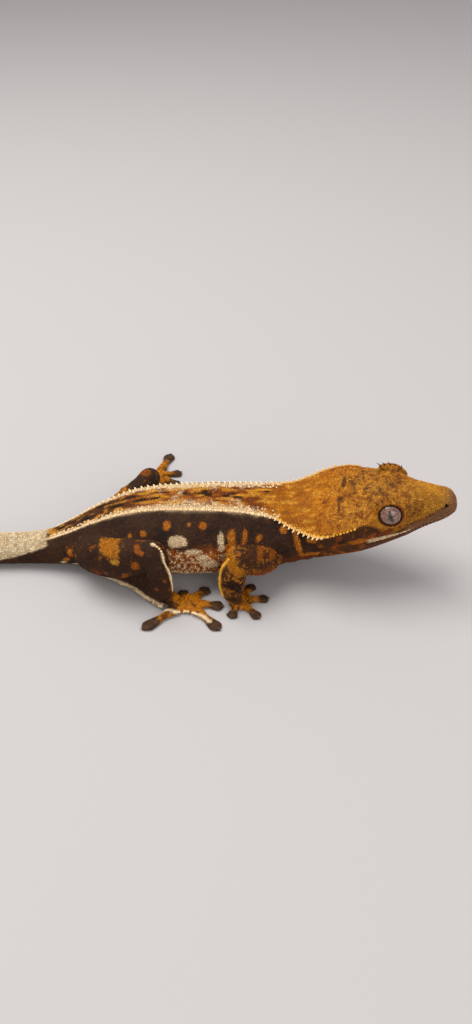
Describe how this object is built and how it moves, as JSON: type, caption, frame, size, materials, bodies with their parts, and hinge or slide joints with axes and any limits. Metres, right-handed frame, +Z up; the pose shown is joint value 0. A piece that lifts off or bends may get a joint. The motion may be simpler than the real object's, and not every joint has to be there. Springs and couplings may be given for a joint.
{
  "type": "crested gecko",
  "caption": "Still life-size model of a crested gecko lizard with crested head and back, spread feet with toe pads, and its tail laid on the floor.",
  "frame": {"origin": "on the floor, below the middle of the animal's outline", "axes": "+X towards the snout, +Y to the animal's left, +Z up"},
  "size_m": [0.1904, 0.0792, 0.0324],
  "materials": {
    "skin": "dry granular scales, gold-brown back, near-black flanks, cream crests and tail",
    "eye": "glossy clear scale over a mauve-grey marbled iris",
    "claw": "small dark horny claws"
  },
  "bodies": {
    "root": {"head": "skin", "neck": "skin", "torso": "skin", "tail_base": "skin", "tail_middle": "skin", "tail_tip": "skin", "upper_arm_right": "skin", "forearm_right": "skin", "hand_right": "skin", "upper_arm_left": "skin", "forearm_left": "skin", "hand_left": "skin", "thigh_right": "skin", "shin_right": "skin", "foot_right": "skin", "thigh_left": "skin", "shin_left": "skin", "foot_left": "skin", "eye_left": "eye", "eye_right": "eye"}
  },
  "joints": []
}
